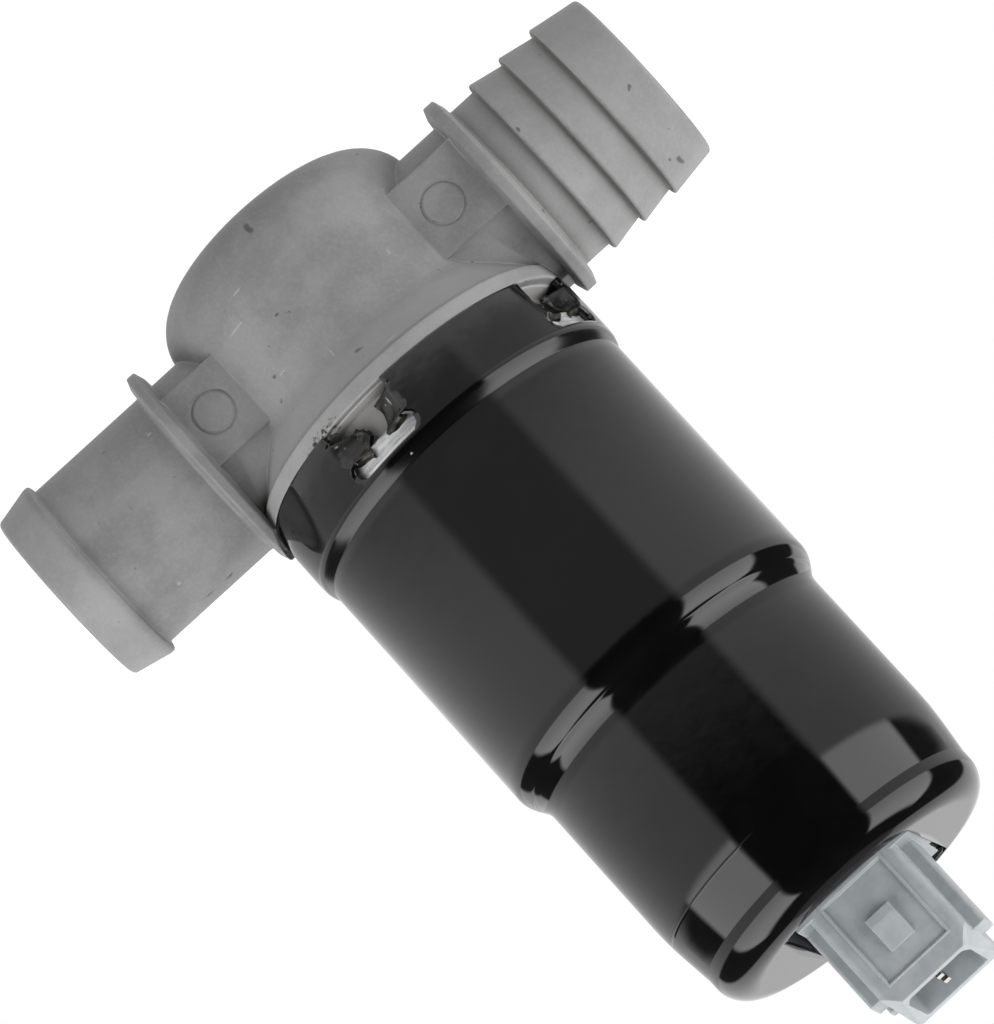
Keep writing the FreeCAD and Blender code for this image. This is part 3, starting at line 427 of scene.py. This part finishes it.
def can_paint():
    """Black stoving enamel on drawn steel: deep gloss, chipped to the steel along the struck edge."""
    material, tree, place = new_material("can_paint")
    high, out = height_in_part(tree, place)
    peel = add(tree, "TexNoise", place, Scale=per_metre(2.6), Detail=1.0, Roughness=0.4)
    haze = add(tree, "TexNoise", place, Scale=per_metre(6.0), Detail=3.0, Roughness=0.6)
    flake = add(tree, "TexNoise", place, Scale=per_metre(0.9), Detail=4.0, Roughness=0.6)
    smear = add(tree, "TexNoise", place, Scale=per_metre(2.2), Detail=4.0, Roughness=0.6)
    rim = add(tree, "MapRange", high, 0.35, 0.1, **SMOOTH)
    tab = all_of(tree, span(tree, high, 0.4, 0.9, SLOT_TOP + 0.7, SLOT_TOP + 1.1),
                 add(tree, "MapRange", out, CRIMP_RADIUS - 0.1, CRIMP_RADIUS - 0.6, **SMOOTH))
    weak = add(tree, "Math", rim, all_of(tree, tab, 0.5), operation="MAXIMUM")
    chip = all_of(tree, add(tree, "MapRange", flake, 0.66, 0.69, **SMOOTH), weak)
    chip = add(tree, "Math", chip, marks(tree, place, PAINT_CHIPS, 0.5), operation="MAXIMUM")
    edge = all_of(tree, add(tree, "MapRange", high, SLOT_TOP - 1.5, SLOT_TOP - 0.2, **SMOOTH), tab, 0.17)
    dirt = add(tree, "MapRange", add(tree, "Math", edge, smear, operation="ADD"), 0.6, 0.72, **SMOOTH)
    steel = coats(tree, "C2C0BA", (add(tree, "MapRange", smear, 0.4, 0.6, **SMOOTH), "7E776A"))
    colour = coats(
        tree, "070707",
        (add(tree, "MapRange", haze, 0.4, 0.7, **SMOOTH), "0B0B0B"),
        (all_of(tree, dirt, tab), "2B2519"),
        (chip, steel),
    )
    bevel = span(tree, high, CRIMP_LENGTH - 0.6, CRIMP_LENGTH, CRIMP_LENGTH + CRIMP_BEVEL,
                 CRIMP_LENGTH + CRIMP_BEVEL + 0.5)
    gloss = add(tree, "MapRange", haze, 0.35, 0.7, 0.05, 0.08, **SMOOTH)
    for where, dull in ((bevel, 0.2), (tab, 0.4), (chip, 0.35)):
        gloss = add(tree, "Mix", where, in_2=gloss, in_3=dull)
    sideways = add(tree, "SeparateXYZ", place, out="X")
    crease = all_of(tree, near(tree, high, CREASE_LINE, 0.22, 0.0),
                    add(tree, "MapRange", sideways, 0.001, 0.008, **SMOOTH))
    whole = add(tree, "Math", 1.0, chip, operation="SUBTRACT")
    surface(
        tree,
        Base_Color=colour,
        Metallic=all_of(tree, chip, 0.7),
        IOR=1.55,
        Roughness=gloss,
        Normal=relief(tree, None, (peel, 0.003), (haze, 0.007), (crease, 0.03), (whole, 0.04)),
    )
    return material


def connector_plastic():
    """Glass-filled polyester, moulded: pale grey-green, satin, mottled by its flow, with a painted highlight
    on its edges and painted shade in its corners.
    """
    material, tree, place = new_material("connector_plastic")
    rounded, edges = softened_edges(tree, radius_mm=0.22)
    flow = add(tree, "TexNoise", place, Scale=per_metre(2.6), Detail=4.0, Roughness=0.65)
    grain = add(tree, "TexNoise", place, Scale=per_metre(0.3), Detail=3.0, Roughness=0.6)
    colour = coats(
        tree, "A3A9AB",
        (add(tree, "MapRange", flow, 0.35, 0.65, **SMOOTH), "AFB4B6"),
        # painted highlight on the edges
        (all_of(tree, edges, 0.6), "D6DADB"),
        # painted shade in tight corners, found by ambient occlusion
        (add(tree, "MapRange", corners(tree, distance_mm=0.9), 0.62, 0.25, 0.0, 0.3, **SMOOTH), "6A6F70"),
    )
    surface(tree, Base_Color=colour, Roughness=0.42, Normal=relief(tree, rounded, (grain, 0.012)))
    return material


def bare_metal(name, dark, light, roughness, grain_mm, along=(1, 1, 1)):
    """A metal whose tool or rolling marks run one way: along stretches the pattern."""
    material, tree, place = new_material(name)
    stretched = add(tree, "Mapping", place, Scale=along)
    streaks = add(tree, "TexNoise", stretched, Scale=per_metre(grain_mm), Detail=3.0, Roughness=0.6)
    surface(
        tree,
        Base_Color=coats(tree, dark, (add(tree, "MapRange", streaks, 0.3, 0.7, **SMOOTH), light)),
        Metallic=1.0,
        Roughness=add(tree, "MapRange", streaks, 0.3, 0.7, roughness * 0.8, roughness * 1.25, **SMOOTH),
        Normal=relief(tree, None, (streaks, 0.01)),
    )
    return material


def plain_finish(name, dark, light, roughness, grain_mm):
    """Rubber, ferrite or plastic: two close tones, a dull sheen and a fine skin."""
    material, tree, place = new_material(name)
    skin = add(tree, "TexNoise", place, Scale=per_metre(grain_mm), Detail=4.0, Roughness=0.6)
    surface(
        tree,
        Base_Color=coats(tree, dark, (add(tree, "MapRange", skin, 0.3, 0.7, **SMOOTH), light)),
        Roughness=roughness,
        Normal=relief(tree, None, (skin, 0.01)),
    )
    return material


def all_finishes():
    """One material for each finish that the record names."""
    return {
        "cast_aluminium": cast_aluminium(),
        "can_paint": can_paint(),
        "connector_plastic": connector_plastic(),
        # Tinned brass strip: pale and bright, rolled lengthways
        "blade_metal": bare_metal("blade_metal", "C9C7C0", "E8E6E0", 0.22, 0.4, (1, 1, 0.2)),
        # Nitrile rubber: near black, dull
        "seal_rubber": plain_finish("seal_rubber", "141414", "1E1E1E", 0.62, 0.4),
        # Turned aluminium: bright, with fine rings round the axis
        "turned_aluminium": bare_metal("turned_aluminium", "B4B5B6", "D0D1D2", 0.28, 0.2, (1, 1, 6)),
        # Ground bearing steel: close to a mirror
        "bearing_steel": bare_metal("bearing_steel", "B9B9B8", "D6D6D4", 0.12, 0.5),
        # Ground shaft steel: bright, with fine rings round the axis
        "shaft_steel": bare_metal("shaft_steel", "A9A9A8", "C8C8C6", 0.18, 0.2, (1, 1, 5)),
        # Die-cast and tumbled aluminium: even and satin
        "slide_aluminium": bare_metal("slide_aluminium", "9C9D9E", "BEBFC0", 0.34, 0.4),
        # Sintered ferrite: charcoal, like fired clay
        "magnet_ferrite": plain_finish("magnet_ferrite", "26272A", "34363A", 0.55, 0.3),
        # Stacked soft iron sheets: dark grey with fine lines across the stack
        "soft_iron": bare_metal("soft_iron", "6E6C69", "8E8C88", 0.4, 0.35, (1, 1, 8)),
        # Moulded nylon: creamy, satin
        "bobbin_plastic": plain_finish("bobbin_plastic", "C9C3B0", "DAD5C6", 0.45, 0.5),
        # Enamelled copper wire: deep orange, streaked along the turns
        "copper_wire": bare_metal("copper_wire", "8F3F1D", "B4562B", 0.3, 0.35, (1, 1, 0.1)),
        # Moulded black plastic: satin
        "shield_plastic": plain_finish("shield_plastic", "1C1C1D", "29292A", 0.5, 0.4),
        # Drawn spring steel: grey and smooth
        "spring_steel": bare_metal("spring_steel", "8B8B8C", "B2B2B3", 0.22, 0.3),
    }


def between(stops, step):
    """Values from the first stop to the last that meet every stop, about a step apart."""
    values = []
    for low, high in zip(stops, stops[1:]):
        count = max(1, math.ceil((high - low) / step(0.5 * (low + high))))
        values += [low + (high - low) * number / count for number in range(count)]
    return values + [stops[-1]]


def rounded_line(bends, step):
    """An open line through (radius, height, rounding) bends, with its arcs in short steps."""
    line = [Vector(bends[0][:2])]
    for before, here, after in zip(bends, bends[1:], bends[2:]):
        corner = Vector(here[:2])
        back = (Vector(before[:2]) - corner).normalized()
        forth = (Vector(after[:2]) - corner).normalized()
        if here[2] <= 0:
            line.append(corner)
            continue
        half = back.angle(forth) / 2
        reach = here[2] / math.tan(half)
        centre = corner + (back + forth).normalized() * (here[2] / math.sin(half))
        start = corner + back * reach - centre
        sweep = math.pi - 2 * half
        way = 1 if start.cross(corner + forth * reach - centre) > 0 else -1
        count = max(2, math.ceil(sweep / step))
        for number in range(count + 1):
            line.append(centre + Matrix.Rotation(way * sweep * number / count, 2) @ start)
    line.append(Vector(bends[-1][:2]))
    return line


def finer(line, longest):
    """The same line with no stretch longer than longest(height)."""
    points = [line[0]]
    for here, after in zip(line, line[1:]):
        count = max(1, math.ceil((after - here).length / longest(0.5 * (here.y + after.y))))
        points += [here.lerp(after, number / count) for number in range(1, count + 1)]
    return points


def new_piece(name, points, faces, finish, body):
    """A smooth mesh piece that rides on a body and takes its finish from a slot."""
    mesh = bpy.data.meshes.new(name)
    mesh.from_pydata([tuple(p) for p in points], [], faces)
    mesh.validate()
    mesh.shade_smooth()
    piece = bpy.data.objects.new(name, mesh)
    bpy.context.collection.objects.link(piece)
    mesh.materials.append(finish)
    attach(piece, body)
    return piece


def stake_offset(angle):
    """Angle from the nearest stake's middle, in degrees."""
    offsets = [(angle - stake + 180) % 360 - 180 for stake in STAKE_ANGLES]
    return min(offsets, key=abs)


def slot_half(height, window_half):
    """Half the struck window's angle at a height: the ends of its slot are round."""
    rounding = math.degrees(SLOT_ROUNDING / CRIMP_RADIUS)
    away = abs(height - SLOT_TOP - SLOT_HEIGHT / 2) / SLOT_ROUNDING
    if away < 1:
        return window_half - rounding * (1 - math.sqrt(1 - away * away))
    return window_half - rounding * max(0.0, 1 - (away - 1) / WARP_FADE)


def slot_warp(offset, height, window_half):
    """Moves the grid sideways so that its columns follow the slot's round ends."""
    half = slot_half(height, window_half)
    reach = window_half + WARP_MARGIN
    size = abs(offset)
    if size <= window_half:
        moved = size * half / window_half
    elif size < reach:
        moved = half + (size - window_half) * (reach - half) / (reach - window_half)
    else:
        moved = size
    return math.copysign(moved, offset) - offset


def tab_bend(angle, offset, height, window_half, gap_half):
    """How a struck tab is pushed in, buckled and curled: depth inward, change of angle and of height."""
    side = 1 if offset > 0 else -1
    tab = TABS[side]
    bend = min(1.0, (window_half - abs(offset)) / (window_half - gap_half))
    low = min(1.0, max(0.0, (height - TAB_TOP) / (SLOT_TOP - TAB_TOP)))
    place = Vector((angle * 0.22, height * 0.6, 3.0 + side))
    crumple = noise.noise(place) * 0.6 + noise.noise(place * 2.2) * 0.28
    inward = TAB_DEPTH * math.sin(bend * math.pi / 2) * (1 - TAB_BULGE * low ** 3)
    inward += CRUMPLE_DEPTH * bend * crumple - tab["spring"] * bend * low ** 4
    turn = tab["twist"] * bend * bend + CRUMPLE_TURN * bend * noise.noise(place * 1.3 + Vector((4, 7, 0)))
    turn = side * turn - tab["lean"] * bend * (1 - low) + tab["kick"] * bend * low ** 5
    drop = tab["droop"] * bend * low ** tab["droop_power"] + tab["sag"] * bend * (1 - low) ** 2
    drop += CRUMPLE_DROP * bend * noise.noise(place * 1.5)
    return min(TAB_DEPTH_LIMIT, max(0.0, inward)), turn, drop


def can_point(angle, radius, height, window_half, gap_half):
    """A point of the can's outside in millimetres, with the struck tabs bent into the groove."""
    offset = stake_offset(angle)
    if height < SLOT_TOP + SLOT_HEIGHT + WARP_DEPTH:
        angle += slot_warp(offset, height, window_half)
        if abs(offset) < window_half and height < SLOT_TOP + 0.01:
            inward, turn, drop = tab_bend(angle, offset, height, window_half, gap_half)
            radius -= inward
            angle += turn
            height += drop
    around = math.radians(angle)
    return Vector((radius * math.cos(around), radius * math.sin(around), height))


def can_outline(total):
    """The can's outside from its open edge to the opening in its end, as (radius, height) points."""
    land_start = CRIMP_LENGTH + CRIMP_BEVEL
    land_end = land_start + LAND_LENGTH
    lower_start = land_end + SHOULDER_LENGTH
    lower_end = lower_start + LOWER_LENGTH
    fall = (LAND_RADIUS - LOWER_RADIUS) / SHOULDER_LENGTH
    crease = land_end + SHOULDER_CREASE
    crease_radius = LAND_RADIUS - fall * SHOULDER_CREASE
    outline = rounded_line([
        (CRIMP_RADIUS, 0, 0),
        (CRIMP_RADIUS, TAB_TOP, 0),
        (CRIMP_RADIUS, SLOT_TOP, 0),
        (CRIMP_RADIUS, SLOT_TOP + SLOT_HEIGHT, 0),
        (CRIMP_RADIUS, CRIMP_LENGTH, BEVEL_ROUNDING),
        (LAND_RADIUS, land_start, BEVEL_FOOT),
        (LAND_RADIUS, land_end, SHOULDER_CREST),
        (crease_radius + fall * CREASE_HALF, crease - CREASE_HALF, 0),
        (crease_radius - CREASE_DEPTH, crease, 0),
        (crease_radius - fall * CREASE_HALF, crease + CREASE_HALF, 0),
        (LOWER_RADIUS, lower_start, SHOULDER_ROOT),
        (LOWER_RADIUS, lower_end, TAPER_ROUNDING),
        (TAIL_RADIUS, lower_end + TAIL_TAPER, TAIL_ROUNDING),
        (TAIL_RADIUS, total, END_EDGE_RADIUS),
        (OPENING_RADIUS, total, 0),
    ], math.radians(ARC_STEP))
    fine_end = SLOT_TOP + SLOT_HEIGHT + 1.0
    return finer(outline, lambda height: FINE_STEP if height < fine_end else COARSE_STEP)


def can_columns(window_half, gap_half):
    """Angles of the can's mesh columns, close together at the stakes, with one on each edge of each tab."""
    stops = [STAKE_ANGLES[0]]
    for stake, following in zip(STAKE_ANGLES, STAKE_ANGLES[1:] + [STAKE_ANGLES[0] + 360]):
        stops += [stake + gap_half, stake + window_half]
        stops += [following - window_half, following - gap_half, following]

    def step(angle):
        return FINE_TURN if abs(stake_offset(angle)) < window_half + FINE_MARGIN else COARSE_TURN

    return between(stops, step)[:-1]


def is_struck_out(offset, height, window_half, gap_half):
    """Whether a stake has this place open: its slot, the gap of its tabs or the strip above them."""
    if offset < window_half and (SLOT_TOP < height < SLOT_TOP + SLOT_HEIGHT or height < TAB_TOP):
        return True
    return offset < gap_half and height < SLOT_TOP


def is_flat(points, face):
    """Whether both long sides of a face have shrunk to points, where the opening's arc meets the last row."""
    sides = ((0, 3), (1, 2))
    return all((points[face[start]] - points[face[end]]).length < 1e-4 for start, end in sides)


def make_can(finish):
    """The drawn can as one open skin with its struck windows, thickened to the wall."""
    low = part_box("motor_can")[0].z / MM
    total = (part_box("motor_can")[1].z / MM) - low
    outline = can_outline(total)
    window_half = math.degrees(math.asin(STAKE_WIDTH / 2 / CRIMP_RADIUS))
    gap_half = math.degrees(math.asin(TAB_GAP / 2 / CRIMP_RADIUS))
    angles = can_columns(window_half, gap_half)
    points = []
    for angle in angles:
        across = math.cos(math.radians(angle - OPENING_TURN))
        side = OPENING_LEFT if across > 0 else OPENING_RIGHT
        inner = min(OPENING_RADIUS, side / max(abs(across), 1e-6))
        for point in outline:
            points.append(can_point(angle, point.x, point.y, window_half, gap_half))
        last = outline[-1].x
        for number in range(1, END_ROWS + 1):
            radius = last + (inner - last) * number / END_ROWS
            points.append(can_point(angle, radius, total, window_half, gap_half))
    rows = len(outline) + END_ROWS
    faces = []
    for column in range(len(angles)):
        following = (column + 1) % len(angles)
        ahead = angles[following] + (360 if following == 0 else 0)
        offset = abs(stake_offset((angles[column] + ahead) / 2))
        for row in range(rows - 1):
            face = [column * rows + row, following * rows + row,
                    following * rows + row + 1, column * rows + row + 1]
            if row < len(outline) - 1:
                height = (outline[row].y + outline[row + 1].y) / 2
                if is_struck_out(offset, height, window_half, gap_half):
                    continue
            elif is_flat(points, face):
                continue
            faces.append(face)
    for point in points:
        point.z += low
        point *= MM
    piece = new_piece("drawn_can", points, faces, finish, "valve")
    thicken = piece.modifiers.new("wall", "SOLIDIFY")
    thicken.thickness = WALL * MM
    thicken.offset = -1.0
    thicken.use_even_offset = False
    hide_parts("motor_can")


def dress_frame(finishes):
    """Every CAD node takes the finish that its slot names."""
    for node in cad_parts.values():
        for number, old in enumerate(node.data.materials):
            name = old.name.split(".")[0]
            node.data.materials[number] = finishes[name]


def add_camera():
    """The photograph's camera: square to the front, tilted over the connector's end and rolled."""
    camera = bpy.data.cameras.new("camera")
    camera.sensor_fit = "AUTO"
    camera.sensor_width = CAMERA_SENSOR
    camera.lens = CAMERA_LENS
    camera.clip_start = 0.01
    camera.clip_end = 50
    holder = bpy.data.objects.new("camera", camera)
    bpy.context.collection.objects.link(holder)
    back = Vector((0, -math.cos(CAMERA_TILT), math.sin(CAMERA_TILT)))
    level = Vector((-1, 0, 0))
    down = back.cross(level)
    right = level * math.cos(CAMERA_ROLL) - down * math.sin(CAMERA_ROLL)
    up = back.cross(right)
    holder.matrix_world = Matrix((
        (right.x, up.x, back.x, CAMERA_PLACE.x),
        (right.y, up.y, back.y, CAMERA_PLACE.y),
        (right.z, up.z, back.z, CAMERA_PLACE.z),
        (0, 0, 0, 1),
    ))
    bpy.context.scene.camera = holder


def white_floor():
    """Matt white card: it takes a soft shadow, glows to white at its rim and is clear from below."""
    material, tree, place = new_material("white_floor")
    card = add(tree, "BsdfPrincipled", Base_Color=linear("979797"), Roughness=0.8)
    rays = add(tree, "LightPath").node.outputs
    seen = add(tree, "Math", rays["Is Camera Ray"], rays["Is Glossy Ray"], operation="MAXIMUM")
    seen = add(tree, "Math", seen, rays["Is Transmission Ray"], operation="MAXIMUM")
    flat = add(tree, "VectorMath", place, (1, 1, 0), operation="MULTIPLY")
    out = add(tree, "VectorMath", flat, operation="LENGTH", out="Value")
    share = all_of(tree, seen, add(tree, "MapRange", out, *FLOOR_FADE, *FLOOR_SHARES, **SMOOTH))
    glow = add(tree, "Emission", Color=(1, 1, 1, 1), Strength=FLOOR_GLOW)
    lit = add(tree, "MixShader", share, card, glow)
    under = add(tree, "NewGeometry", out="Backfacing")
    add(tree, "OutputMaterial", add(tree, "MixShader", under, lit, add(tree, "BsdfTransparent")))
    return material


def add_floor():
    """A small pale floor well below the valve."""
    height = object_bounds()[0].z - FLOOR_DROP
    count = 96
    ring = []
    for number in range(count):
        around = math.tau * number / count
        ring.append((FLOOR_RADIUS * math.cos(around), FLOOR_RADIUS * math.sin(around), height))
    mesh = bpy.data.meshes.new("floor")
    mesh.from_pydata(ring, [], [range(count)])
    mesh.materials.append(white_floor())
    floor = bpy.data.objects.new("floor", mesh)
    bpy.context.collection.objects.link(floor)


def add_world():
    """A light tent: two softboxes, a white sweep behind, a table below, a dim cap overhead and a dark gap
    at the camera. Dull surfaces also see a skylight, and lose some of the light from below."""
    world = bpy.data.worlds.new("light_tent")
    bpy.context.scene.world = world
    world.use_nodes = True
    tree = world.node_tree
    tree.nodes.clear()
    way = add(tree, "TexCoord", out="Generated")
    parts = add(tree, "SeparateXYZ", way).node.outputs
    rise = parts["Z"]
    ahead = add(tree, "Math", parts["Y"], -1.0, operation="MULTIPLY")
    side = add(tree, "Math", parts["X"], ahead, operation="ARCTAN2")
    side = add(tree, "Math", side, operation="ABSOLUTE")
    blur = add(tree, "MapRange", rise, -0.12, -0.2, math.radians(3.0), math.radians(5.0), **SMOOTH)

    def past(angle):
        """A mask of the directions further round from the front than this angle."""
        low = add(tree, "Math", math.radians(angle), blur, operation="SUBTRACT")
        high = add(tree, "Math", math.radians(angle), blur, operation="ADD")
        return add(tree, "MapRange", side, low, high, **SMOOTH)

    softbox = add(tree, "Math", past(CAMERA_GAP), past(SOFTBOX_END), operation="SUBTRACT")
    softbox = all_of(tree, softbox, add(tree, "MapRange", rise, *SOFTBOX_TOP, **SMOOTH))
    softbox_level = add(tree, "MapRange", rise, *SOFTBOX_SPAN, *SOFTBOX_LEVELS, **SMOOTH)
    level = add(tree, "Mix", past(SWEEP_START), in_2=SIDE_LEVEL, in_3=SWEEP_LEVEL)
    level = add(tree, "Mix", softbox, in_2=level, in_3=softbox_level)
    below = add(tree, "MapRange", rise, *BELOW_START, HORIZON_LEVEL, BELOW_LEVEL, **SMOOTH)
    table = add(tree, "MapRange", rise, *TABLE_START, **SMOOTH)
    below = add(tree, "Mix", table, in_2=below, in_3=TABLE_LEVEL)
    foot = add(tree, "MapRange", rise, *TENT_FOOT, **SMOOTH)
    level = add(tree, "Mix", foot, in_2=level, in_3=below)
    gap_level = add(tree, "MapRange", rise, *GAP_FOOT, *GAP_LEVELS, **SMOOTH)
    level = add(tree, "Mix", past(CAMERA_GAP), in_2=gap_level, in_3=level)
    overhead = add(tree, "VectorMath", way, OVERHEAD_WAY, operation="DOT_PRODUCT", out="Value")
    overhead = add(tree, "MapRange", overhead, *OVERHEAD_EDGE, **SMOOTH)
    level = add(tree, "Mix", overhead, in_2=level, in_3=OVERHEAD_LEVEL)

    rays = add(tree, "LightPath").node.outputs
    dull = add(tree, "Math", 1.0, rays["Is Glossy Ray"], operation="SUBTRACT")
    skylight = add(tree, "MapRange", parts["X"], -0.8, 0.8, *SKYLIGHT_LEVELS, **SMOOTH)
    skylight = all_of(tree, skylight, dull, add(tree, "MapRange", rise, *SKYLIGHT_START, **SMOOTH))
    lost = add(tree, "MapRange", rise, *UNDERSIDE_START, 0.0, UNDERSIDE_LOSS, **SMOOTH)
    left = add(tree, "Math", 1.0, all_of(tree, dull, lost), operation="SUBTRACT")
    level = add(tree, "Math", all_of(tree, level, left), skylight, operation="ADD")
    tent = add(tree, "Background", Color=(1, 1, 1, 1), Strength=level)
    white = add(tree, "Background", Color=(1, 1, 1, 1), Strength=1.0)
    add(tree, "OutputWorld", add(tree, "MixShader", rays["Is Camera Ray"], tent, white))


def main():
    finishes = all_finishes()
    dress_frame(finishes)
    make_can(finishes["can_paint"])
    add_camera()
    add_floor()
    add_world()
    bpy.context.scene.view_settings.view_transform = "Standard"


main()
